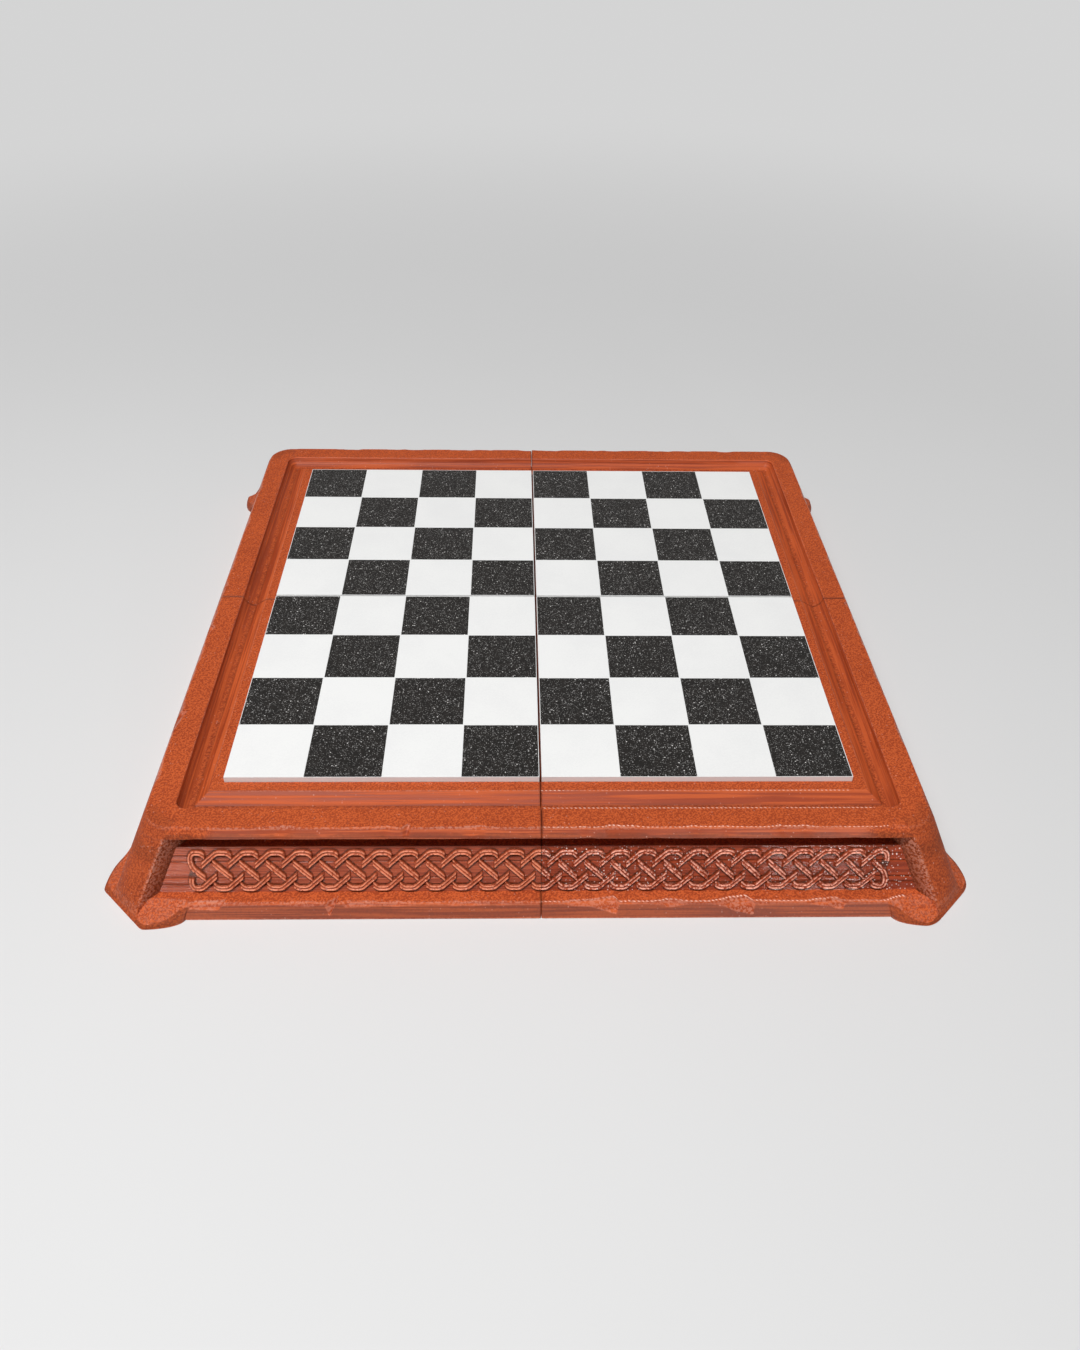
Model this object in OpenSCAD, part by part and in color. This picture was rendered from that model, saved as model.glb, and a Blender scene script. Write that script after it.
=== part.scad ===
// Game board in four quarters. Each quarter is a moulded terracotta frame that carries a white
// plate with black inlay squares. Dowel pins line the quarters up at the seams.
// The origin is at the board's centre on the table, +Z is up and the front of the board faces -Y.

/* [Playing surface] */
// Side of one square
square = 40; // [32:1:46]
// Thickness of the white plates
plate_t = 5; // [4.5:0.5:8]
// Height that the plates stand above the ledge
plate_proud = 3; // [1:0.25:4]
// Gap between neighbouring plates over the seams
plate_gap = 1.2; // [0.6:0.1:2.4]
// Clearance between a plate and the sides of its pocket
plate_clear = 0.15; // [0.05:0.05:0.4]
// Thickness of the black inlay squares
tile_t = 1.2; // [0.8:0.2:2.4]
// White border between a square's edge and its inlay's pocket
tile_border = 0.3; // [0.2:0.1:1.2]
// Clearance between an inlay and the sides of its pocket
tile_clear = 0.1; // [0.05:0.05:0.3]

/* [Frame] */
// Height of the playing surface above the table
board_h = 45; // [40:1:60]
// Gap between neighbouring frame quarters
seam = 0.3; // [0.2:0.1:0.5]
// Width of the level ledge around the plates
ledge_w = 6.4; // [4:0.2:12]
// Width of the slope from the ledge down to the gutter
slope_w = 7.2; // [4:0.2:12]
// Radius of the hollow between the slope's foot and the rim
cove_r = 6.5; // [5:0.25:8]
// Height of the rim's top below the playing surface
rim_drop = 1; // [0:0.2:2]
// Width of the rim's level top
rim_w = 14.2; // [11:0.2:20]
// Angle of the outer faces from level
face_angle = 65.5; // [58:0.5:78]
// Radius of the rim's outer corners
corner_r = 14; // [10:1:18]

/* [Feet] */
// How far a corner foot stands out beyond the lip
foot_out = 5.9; // [3:0.1:9]
// Length that the foot's corner is cut off along each side
foot_cut = 24.8; // [18:0.2:30]
// Length over which the foot swells out of the lip
foot_sweep = 20; // [12:1:30]
// Height of the foot's upright edge
foot_edge_h = 2.2; // [1:0.2:4]

/* [Knot panels] */
// Height of the outer face above a panel's recess
brow_h = 5.2; // [3:0.2:8]
// Height of the lip below a panel's recess
lip_h = 8; // [6:0.5:10]
// Level depth of a panel behind the outer face
panel_deep = 7.5; // [4:0.25:9]
// Fall of the recess's ceiling towards the panel
soffit_fall = 2.6; // [0:0.2:5]
// Width of the corner post beside a recess
post_w = 14.5; // [12:0.5:20]
// Height of the plait's middle line above the table
plait_z = 18.7; // [18:0.1:21]
// Length of one crossing of the plait
plait_pitch = 13.1; // [11.5:0.1:16]
// Swing of a strand to each side of the middle line
plait_swing = 9.5; // [7.5:0.1:9.8]
// Width of a strand
strand_w = 3.1; // [2:0.1:3.4]
// Height of a strand above the panel
strand_h = 1.4; // [0.6:0.1:2]
// Gap beside an upper strand where a lower one dips under it
strand_gap = 0.35; // [0.2:0.05:0.6]
// Times the plain tuck that an arch stops short of the middle bars
arch_stop = 2.2; // [1:0.1:2.5]
// How far the plait's end loops swell beyond the last crossing
plait_end = 3.3; // [2:0.1:5]
// Least bare length of panel beyond the plait's end
plait_margin = 12; // [9:0.5:20]

/* [Pins] */
// Diameter of a dowel pin
pin_d = 6; // [4:0.5:8]
// Length of a dowel pin
pin_l = 40; // [24:1:50]
// Height of the pins above the table
pin_z = 20; // [14:1:24]
// Distance of the inner pins from the board's centre
pin_near = 60; // [40:1:80]
// Distance of the outer pins from the board's centre
pin_far = 140; // [100:1:150]
// Radial clearance of a pin in its bores
pin_clear = 0.05; // [0.02:0.01:0.1]
// Clearance at each end of a pin
pin_end = 0.2; // [0.1:0.05:0.5]

/* [Hidden] */
$fn = 96;
cells = 4;
eps = 1;
arc_steps = 10;
columns = "abcdefgh";

seam_x = seam / 2;
plate_in = plate_gap / 2;
plate_out = plate_in + cells * square;
plate_z = board_h - plate_t;
deck_z = board_h - plate_proud;
rim_z = board_h - rim_drop;
gutter_z = rim_z - cove_r;

ledge_out = plate_out + ledge_w;
slope_out = ledge_out + slope_w;
rim_in = slope_out + cove_r;
rim_out = rim_in + rim_w;
lip_out = face_out(0);

recess_top_z = rim_z - brow_h;
panel_top_z = recess_top_z - soffit_fall;

wave_l = 4 * plait_pitch;
tuck = 1.15 * (strand_w / 2 + strand_gap);
panel_half = recess_end(face_out(plait_z) - panel_deep);
crossings = floor((panel_half - plait_margin) / plait_pitch);
plait_root = 0.6;

pin_bore_r = pin_d / 2 + pin_clear;
pin_bore_l = pin_l / 2 + pin_end;

QUARTERS = ["front_left", "front_right", "back_left", "back_right"];
FRAMES = [for (q = QUARTERS) str("frame_", q)];
PLATES = [for (q = QUARTERS) str("plate_", q)];
TILES = [for (row = [0 : 7], col = [0 : 7]) if ((row + col) % 2 == 1) tile_name(col, row)];
SEAMS = ["front", "right", "back", "left"];
PINS = [for (s = SEAMS, place = ["inner", "outer"]) str("pin_", s, "_", place)];

// Distance of the outer face from the board's middle at a height
function face_out(z) = rim_out + (rim_z - z) / tan(face_angle);

// Distance along the side at which a recess ends, for a distance from the board's middle
function recess_end(d) = d - post_w;

// Corner radius of the outer block at a height
function block_r(z) = corner_r * face_out(z) / rim_out;

// Round corner of an outline at a distance from the board's middle
function round_corner(d, r) =
    [for (i = [0 : arc_steps]) [d - r + r * cos(90 * i / arc_steps), d - r + r * sin(90 * i / arc_steps)]];

// Name of an inlay square by its column letter and row number
function tile_name(col, row) = str("tile_", columns[col], row + 1);

// Middle line of a strand at a phase angle, and its slope there
function wave(a) = [a / 360 * wave_l, plait_swing * sin(a)];
function wave_slope(a) = 2 * PI * plait_swing / wave_l * cos(a);

// Phase angle that a strand hides on each side of an upper strand
function tuck_angle(a) = (cos(a) ^ 2 > 0.9 ? arch_stop : 1.25) * tuck / norm([1, wave_slope(a)]) / wave_l * 360;

// Points of a strand between two phase angles, moved along the panel
function stretch(from, to, steps, move) =
    [for (i = [0 : steps]) wave(from + (to - from) * i / steps) + [move, 0]];

// Point of a cubic curve through four control points
function bend(p, t) =
    p[0] * pow(1 - t, 3) + 3 * p[1] * t * pow(1 - t, 2) + 3 * p[2] * t * t * (1 - t) + p[3] * pow(t, 3);

// Unit normal of a path at one of its points
function path_normal(path, i) =
    let (d = path[min(i + 1, len(path) - 1)] - path[max(i - 1, 0)])
    [-d[1], d[0]] / norm(d);

// Offset of a ribbon's edge: square to the path, or upright where the seam cuts the ribbon
function ribbon_offset(path, i, upright) =
    let (n = path_normal(path, i))
    (upright && i == 0 ? [0, 1 / n[1]] : n) * strand_w / 2;

// Flat ribbon along a path
module ribbon(path, upright = false) {
    edge = [for (i = [0 : len(path) - 1]) ribbon_offset(path, i, upright)];
    last = len(path) - 1;
    translate([0, 0, -plait_root])
        linear_extrude(strand_h + plait_root)
            polygon(concat(
                [for (i = [0 : last]) path[i] - edge[i]],
                [for (i = [last : -1 : 0]) path[i] + edge[i]]));
}

// Strands that arch over the plait's upper edge
module upper_arches() {
    from_seam = 90 + 360 * seam_x / wave_l;
    ribbon(stretch(from_seam, 135 - tuck_angle(135), 3, -plait_pitch), upright = true);
    for (k = [0 : crossings - 2])
        ribbon(stretch(tuck_angle(0), 135 - tuck_angle(135), 6, k * plait_pitch));
}

// Strands that arch under the plait's lower edge
module lower_arches() {
    from_seam = 270 + 360 * seam_x / wave_l;
    ribbon(stretch(from_seam, 360 - tuck_angle(360), 4, -3 * plait_pitch), upright = true);
    for (k = [2 : crossings])
        ribbon(stretch(225 + tuck_angle(225), 360 - tuck_angle(360), 6, (k - 4) * plait_pitch));
}

// Strands that pass over at the middle line
module middle_bars() {
    from_seam = 180 + 360 * seam_x / wave_l;
    ribbon(stretch(from_seam, 225 - tuck_angle(225), 2, -2 * plait_pitch), upright = true);
    for (k = [1 : crossings - 1])
        ribbon(stretch(135 + tuck_angle(135), 225 - tuck_angle(225), 3, (k - 2) * plait_pitch));
}

// Loops that close the plait beyond its last crossing
module end_loops() {
    end = crossings * plait_pitch;
    rise = plait_end * 2 * PI * plait_swing / wave_l;
    upper = [[end, plait_swing], [end + plait_end, plait_swing], [end + plait_end, rise], [end, 0]];
    lower = [[end, 0], [end + plait_end, -rise], [end + plait_end, -plait_swing], [end, -plait_swing]];
    hidden = tuck / norm([plait_end, rise]) / 3;
    ribbon(concat(
        stretch(tuck_angle(0), 75, 3, end - plait_pitch),
        [for (i = [0 : 5]) bend(upper, i / 5 * (1 - hidden))]));
    ribbon(concat(
        stretch(135 + tuck_angle(135), 180, 2, end - 2 * plait_pitch),
        [for (i = [1 : 5]) bend(lower, i / 5)],
        stretch(255, 225 + tuck_angle(225), 2, end - 3 * plait_pitch)));
}

// Half of a panel's plait, from the seam to its closed end, as raised ribbons
module half_plait() {
    upper_arches();
    lower_arches();
    middle_bars();
    end_loops();
}

// Stands a flat figure on the panel of the front side
module on_front_panel() {
    translate([0, panel_deep - face_out(plait_z), plait_z])
        rotate([face_angle, 0, 0])
            children();
}

// The two half plaits of the back right quarter
module quarter_plaits() {
    rotate([0, 0, 90])
        on_front_panel()
            half_plait();
    rotate([0, 0, 180])
        on_front_panel()
            rotate([0, 0, 180])
                half_plait();
}

// Bar along Y with a given cross-section, its first coordinate along X and its second along Z
module bar(section, from, to) {
    translate([0, to, 0])
        rotate([90, 0, 0])
            linear_extrude(to - from)
                polygon(section);
}

// A shape together with its mirror image about the quarter's diagonal
module both_sides() {
    children();
    mirror([1, -1, 0])
        children();
}

// Outer block of a quarter: sloping faces that meet in a round corner
module outer_block() {
    linear_extrude(rim_z, scale = rim_out / lip_out)
        polygon(concat([[0, 0], [lip_out, 0]], round_corner(lip_out, block_r(0)), [[0, lip_out]]));
}

// Space inside the rim, down to the gutter, with a hollow rising to the rim's edge
module basin() {
    translate([-eps, -eps, gutter_z])
        cube([slope_out + eps, slope_out + eps, cove_r + eps]);
    both_sides()
        translate([slope_out, -eps, rim_z])
            rotate([-90, 0, 0])
                cylinder(h = slope_out + eps, r = cove_r);
    translate([slope_out, slope_out, rim_z])
        sphere(r = cove_r);
}

// Slab that keeps the block clear of the seam towards -X
module seam_slab() {
    translate([-eps, -eps, -eps])
        cube([seam_x + eps, lip_out + 2 * eps, rim_z + 2 * eps]);
}

// Level deck inside the gutter, with its sloping edges
module deck() {
    section = [[seam_x, gutter_z - eps], [slope_out, gutter_z - eps], [slope_out, gutter_z],
               [ledge_out, deck_z], [seam_x, deck_z]];
    intersection() {
        bar(section, seam_x, slope_out);
        mirror([1, -1, 0])
            bar(section, seam_x, slope_out);
    }
}

// Pocket that a plate lies in, open at the seams
module plate_pocket() {
    size = plate_out + plate_clear + eps;
    translate([-eps, -eps, plate_z])
        cube([size, size, plate_t]);
}

// Splayed recess of the knot panel in the face towards +X
module recess() {
    reach = 1.5;
    ceiling = [face_out(recess_top_z), recess_top_z];
    panel_top = [face_out(panel_top_z) - panel_deep, panel_top_z];
    panel_foot = [face_out(lip_h) - panel_deep, lip_h];
    sill = [face_out(lip_h), lip_h];
    section = [panel_foot, panel_foot + reach * (sill - panel_foot),
               panel_top + reach * (ceiling - panel_top), panel_top];
    polyhedron(
        points = concat(
            [for (p = section) [p[0], -eps, p[1]]],
            [for (p = section) [p[0], recess_end(p[0]), p[1]]]),
        faces = [[3, 2, 1, 0], [4, 5, 6, 7], [0, 1, 5, 4], [1, 2, 6, 5], [2, 3, 7, 6], [3, 0, 4, 7]]);
}

// Outline of a corner foot on the table
module foot_outline() {
    tip = lip_out + foot_out;
    back = tip - foot_cut;
    root = 1.5;
    swell = [for (a = [0 : 15 : 90])
        [back - foot_sweep * cos(a), lip_out - root + (foot_out + root) * sin(a)]];
    start = back - foot_sweep;
    polygon(concat(
        [[start, start]],
        swell,
        [for (i = [len(swell) - 1 : -1 : 0]) [swell[i][1], swell[i][0]]]));
}

// Corner foot, sloping up to the lip's height at the corner post
module foot() {
    inner = face_out(lip_h) - 0.5;
    start = lip_out + foot_out - foot_cut - foot_sweep;
    hull() {
        linear_extrude(foot_edge_h)
            foot_outline();
        linear_extrude(lip_h)
            polygon(concat(
                [[start, start], [inner, start]],
                round_corner(inner, block_r(lip_h)),
                [[start, inner]]));
    }
}

// Bores for the pins in the seam face towards -X
module pin_bores() {
    for (along = [pin_near, pin_far])
        translate([seam_x - eps, along, pin_z])
            rotate([0, 90, 0])
                cylinder(h = pin_bore_l - seam_x + eps, r = pin_bore_r);
}

// Frame quarter in the place of the back right one
module frame_quarter() {
    difference() {
        union() {
            difference() {
                union() {
                    outer_block();
                    foot();
                }
                basin();
                both_sides() {
                    recess();
                    seam_slab();
                }
            }
            deck();
            quarter_plaits();
        }
        plate_pocket();
        both_sides()
            pin_bores();
    }
}

// Turn of each quarter from the back right one
function quarter_turn(q) = [180, 270, 90, 0][q];

module frame(q) {
    color("#b64a2b")
        rotate([0, 0, quarter_turn(q)])
            frame_quarter();
}

// Side of the board, -1 or 1, that a quarter lies on along X and along Y
function side_x(q) = q % 2 == 0 ? -1 : 1;
function side_y(q) = q < 2 ? -1 : 1;

// Lower left corner of a square of the board
function square_low(n) = (n - cells) * square + (n < cells ? -plate_in : plate_in);

// Lower left corner of a plate along one axis
function plate_low(side) = side < 0 ? -plate_out : plate_in;

// Pocket or inlay of one black square, drawn in from the square's edge
module inlay(col, row, inset, height) {
    translate([square_low(col) + inset, square_low(row) + inset, board_h - tile_t])
        cube([square - 2 * inset, square - 2 * inset, height]);
}

// Whether a square lies on a quarter's plate
function on_quarter(col, row, q) = (col < cells) == (side_x(q) < 0) && (row < cells) == (side_y(q) < 0);

module plate(q) {
    color("#f1f0ee")
        difference() {
            translate([plate_low(side_x(q)), plate_low(side_y(q)), plate_z])
                cube([cells * square, cells * square, plate_t]);
            for (row = [0 : 7], col = [0 : 7])
                if ((row + col) % 2 == 1 && on_quarter(col, row, q))
                    inlay(col, row, tile_border, tile_t + eps);
        }
}

module tile(col, row) {
    color("#2b2b2d")
        inlay(col, row, tile_border + tile_clear, tile_t);
}

// Pin across a seam: the front, right, back and left seams follow each other by quarter turns
module pin(s, along) {
    color("#8f3a22")
        rotate([0, 0, 90 * s])
            translate([-pin_l / 2, -along, pin_z])
                rotate([0, 90, 0])
                    cylinder(h = pin_l, d = pin_d);
}

for (q = [0 : 3]) {
    frame(q);
    plate(q);
}
for (row = [0 : 7], col = [0 : 7])
    if ((row + col) % 2 == 1)
        tile(col, row);
for (s = [0 : 3]) {
    pin(s, pin_near);
    pin(s, pin_far);
}
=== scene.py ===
"""Dressed scene of a game board in four quarters.

Terracotta frames with hewn edges, raised knot panels, white plates and black glitter squares.
Lengths in the classes are millimetres, and meshes are written in metres.
"""

import functools
import logging
import math
from dataclasses import dataclass, field
from enum import Enum

import bmesh
import bpy
import numpy as np
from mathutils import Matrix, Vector


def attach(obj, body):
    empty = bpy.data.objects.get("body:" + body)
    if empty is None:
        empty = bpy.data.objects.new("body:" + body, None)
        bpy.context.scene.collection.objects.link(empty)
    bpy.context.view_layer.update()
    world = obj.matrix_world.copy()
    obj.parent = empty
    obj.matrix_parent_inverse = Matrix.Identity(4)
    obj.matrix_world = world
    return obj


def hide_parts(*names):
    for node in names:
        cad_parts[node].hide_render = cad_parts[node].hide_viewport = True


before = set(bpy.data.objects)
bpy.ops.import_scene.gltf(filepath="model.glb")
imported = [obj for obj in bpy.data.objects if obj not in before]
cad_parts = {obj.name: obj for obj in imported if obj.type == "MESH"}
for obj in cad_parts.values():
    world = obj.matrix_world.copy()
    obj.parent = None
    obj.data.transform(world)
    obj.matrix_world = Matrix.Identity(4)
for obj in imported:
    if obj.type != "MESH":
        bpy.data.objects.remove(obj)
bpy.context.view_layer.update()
MM = 0.001
JOIN_DISTANCE = 1e-6
LOG = logging.getLogger("board")
Array = np.ndarray
Number = np.ndarray | float
Colour = tuple[float, float, float, float]
Place = tuple[float, float, float]
Socket = bpy.types.NodeSocket


class Quarter(Enum):
    """Quarters of the board, with the turn from the back right one in degrees."""

    FRONT_LEFT = ("front_left", 180)
    FRONT_RIGHT = ("front_right", 270)
    BACK_LEFT = ("back_left", 90)
    BACK_RIGHT = ("back_right", 0)

    @property
    def body(self) -> str:
        """Name of the body that the quarter's pieces ride on."""
        return self.value[0]

    @property
    def turn(self) -> float:
        """Turn about the upright axis in radians."""
        return math.radians(self.value[1])


class Half(Enum):
    """The two halves of side panel on a quarter, with the hand of their plait."""

    FIRST = 1
    SECOND = -1


class Edge(Enum):
    """Hewn edges, with the seed, the least depth, the depth and the length of their waves."""

    RIM = (1, 0.7, 1.5, 46.0)
    BROW = (2, 0.25, 0.5, 33.0)
    LIP = (3, 0.5, 1.1, 43.0)


@dataclass(frozen=True)
class Notch:
    """A chip broken out of a hewn edge: deep at one place, with one long and one steep side.

    Fields give the deepest place along the side, the length of the long side, negative where it lies
    towards the seam, the depth, and the length of the steep side.
    """

    at: float
    reach: float
    depth: float
    steep: float = 1.6

    def cut(self, s: Array) -> Array:
        """Depth of the chip at places along the edge.

        Args:
            s: Places along the edge.

        Returns:
            One depth for each place.
        """
        t = (s - self.at) / self.reach
        long_side = np.clip(1 - t, 0, 1)
        steep_side = np.clip(1 + t * abs(self.reach) / self.steep, 0, 1)
        return self.depth * np.where(t > 0, long_side, steep_side)


NOTCHES = {
    (Quarter.FRONT_LEFT, Half.FIRST, Edge.RIM): (Notch(31.0, 8.0, 3.0), Notch(110.0, 14.0, 3.0)),
    (Quarter.FRONT_LEFT, Half.SECOND, Edge.RIM): (
        Notch(65.5, 2.6, 3.4), Notch(128.0, -14.0, 0.9), Notch(28.0, 16.0, 0.8)),
    (Quarter.FRONT_LEFT, Half.SECOND, Edge.LIP): (
        Notch(103.0, 4.0, 4.2), Notch(158.0, 15.0, 1.6),
        Notch(96.0, -20.0, 1.1), Notch(172.0, -7.0, 1.6)),
    (Quarter.FRONT_RIGHT, Half.FIRST, Edge.RIM): (Notch(32.0, 14.0, 1.0), Notch(118.0, -10.0, 0.9)),
    (Quarter.FRONT_RIGHT, Half.FIRST, Edge.LIP): (
        Notch(37.0, -19.0, 3.6), Notch(104.5, -21.0, 3.8),
        Notch(62.0, 10.0, 1.2), Notch(150.0, -18.0, 1.8)),
    (Quarter.FRONT_RIGHT, Half.SECOND, Edge.RIM): (Notch(5.0, 5.0, 2.4),),
    (Quarter.BACK_LEFT, Half.SECOND, Edge.RIM): (Notch(12.0, 6.0, 2.0),),
}


@dataclass(frozen=True)
class Sizes:
    """Sizes of the frame and its panels, as in the solid model except for the top of the panels' strip."""

    seam: float = 0.15
    plate_out: float = 160.6
    plate_clear: float = 0.15
    pocket_z: float = 40.0
    deck_z: float = 42.0
    ledge_w: float = 6.4
    slope_w: float = 7.2
    cove_r: float = 6.5
    rim_z: float = 44.0
    rim_w: float = 14.2
    face_angle: float = math.radians(65.5)
    corner_r: float = 14.0
    post_w: float = 14.5
    recess_top: float = 38.8
    panel_top: float = 36.2
    strip_top: float = 30.0
    lip_h: float = 8.0
    panel_deep: float = 7.5
    foot_out: float = 5.9
    foot_cut: float = 24.8
    foot_sweep: float = 20.0
    foot_edge: float = 2.2
    plait_z: float = 18.7
    plait_pitch: float = 13.1
    plait_swing: float = 9.5
    plait_end: float = 3.3
    crossings: int = 13
    bore_z: float = 20.0
    bore_near: float = 60.0
    bore_far: float = 140.0
    bore_r: float = 3.05
    bore_end: float = 20.2

    @property
    def ledge_out(self) -> float:
        """Outer edge of the level ledge."""
        return self.plate_out + self.ledge_w

    @property
    def slope_out(self) -> float:
        """Foot of the slope inside the gutter."""
        return self.ledge_out + self.slope_w

    @property
    def rim_in(self) -> float:
        """Inner edge of the rim's top."""
        return self.slope_out + self.cove_r

    @property
    def rim_out(self) -> float:
        """Outer edge of the rim's top."""
        return self.rim_in + self.rim_w

    def face(self, z: Number) -> Number:
        """Distance of the leaning outer face from the middle of the board at a height."""
        return self.rim_out + (self.rim_z - z) / math.tan(self.face_angle)


SIZES = Sizes()


def triangle_wave(phase: Array) -> Array:
    """Wave of straight lines between -1 and 1, as hewn edges have."""
    return np.arcsin(np.sin(phase)) * (2 / np.pi)


def hewn(s: Array, seed: float, pitch: float) -> Array:
    """Uneven course of a hewn edge.

    The sum of four triangle waves, each shorter and lower than the one before, with phases from the seed.

    Args:
        s: Places along the edge in millimetres.
        seed: Number that sets the phases.
        pitch: Length of the longest wave.

    Returns:
        Offsets between about -1 and 1.
    """
    ratios = np.array([1.0, 0.57, 0.31, 0.17])
    heights = np.array([0.46, 0.28, 0.17, 0.09])
    phases = np.sin(seed * np.array([12.9, 78.2, 37.7, 53.1])) * np.pi * 3
    waves = triangle_wave(2 * np.pi * s[:, None] / (pitch * ratios) + phases)
    return waves @ heights


def smooth_step(low: Number, high: Number, x: Number) -> Array:
    """Smooth rise from 0 at low to 1 at high."""
    t = np.clip((x - low) / (high - low), 0, 1)
    return t * t * (3 - 2 * t)


def grid_quads(rows: int, cols: int) -> Array:
    """Corner numbers of the cells of a grid of points.

    Args:
        rows: Number of rows of points.
        cols: Number of points in a row.

    Returns:
        One row of four point numbers for each cell.
    """
    n = np.arange(rows * cols).reshape(rows, cols)
    return np.stack([n[:-1, :-1], n[1:, :-1], n[1:, 1:], n[:-1, 1:]], -1).reshape(-1, 4)


def turned(points: Array, angle: float) -> Array:
    """Points turned about the upright axis through the board's middle."""
    c, s = math.cos(angle), math.sin(angle)
    return points @ np.array([[c, s, 0], [-s, c, 0], [0, 0, 1]])


def linked(name: str, data: bpy.types.ID) -> bpy.types.Object:
    """Makes an object and links it to the scene.

    Args:
        name: Name of the object.
        data: Its mesh, lamp or camera.

    Returns:
        The object, at the origin.
    """
    made = bpy.data.objects.new(name, data)
    bpy.context.scene.collection.objects.link(made)
    return made


def closed_mesh(name: str, points: Array, quads: Array, caps: list[Array],
                marks: dict[str, Array], sharp: float) -> bpy.types.Object:
    """Puts points and faces into a mesh, joins what coincides and turns the faces outwards.

    Args:
        name: Name of the piece.
        points: Points in millimetres.
        quads: Point numbers of the four-sided faces.
        caps: Point numbers of each closing face.
        marks: Values from 0 to 1 for each point, by the name of the attribute that keeps them.
        sharp: Angle in degrees above which an edge is drawn sharp.

    Returns:
        The object, linked to the scene at the origin.
    """
    mesh = bpy.data.meshes.new(name)
    mesh.vertices.add(len(points))
    mesh.vertices.foreach_set("co", (points * MM).astype(np.float32).ravel())
    corners = np.concatenate([quads.ravel(), *caps]).astype(np.int32)
    sizes = np.concatenate([np.full(len(quads), 4), [len(c) for c in caps]]).astype(np.int32)
    mesh.loops.add(len(corners))
    mesh.loops.foreach_set("vertex_index", corners)
    mesh.polygons.add(len(sizes))
    mesh.polygons.foreach_set("loop_start", np.concatenate([[0], np.cumsum(sizes)[:-1]]).astype(np.int32))
    mesh.update(calc_edges=True)
    for label, values in marks.items():
        kept = mesh.attributes.new(label, "FLOAT", "POINT")
        kept.data.foreach_set("value", values.astype(np.float32).ravel())
    work = bmesh.new()
    work.from_mesh(mesh)
    bmesh.ops.remove_doubles(work, verts=work.verts, dist=JOIN_DISTANCE)
    bmesh.ops.recalc_face_normals(work, faces=work.faces)
    work.to_mesh(mesh)
    work.free()
    mesh.polygons.foreach_set("use_smooth", np.ones(len(mesh.polygons), dtype=bool))
    mesh.set_sharp_from_angle(angle=math.radians(sharp))
    return linked(name, mesh)


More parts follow.
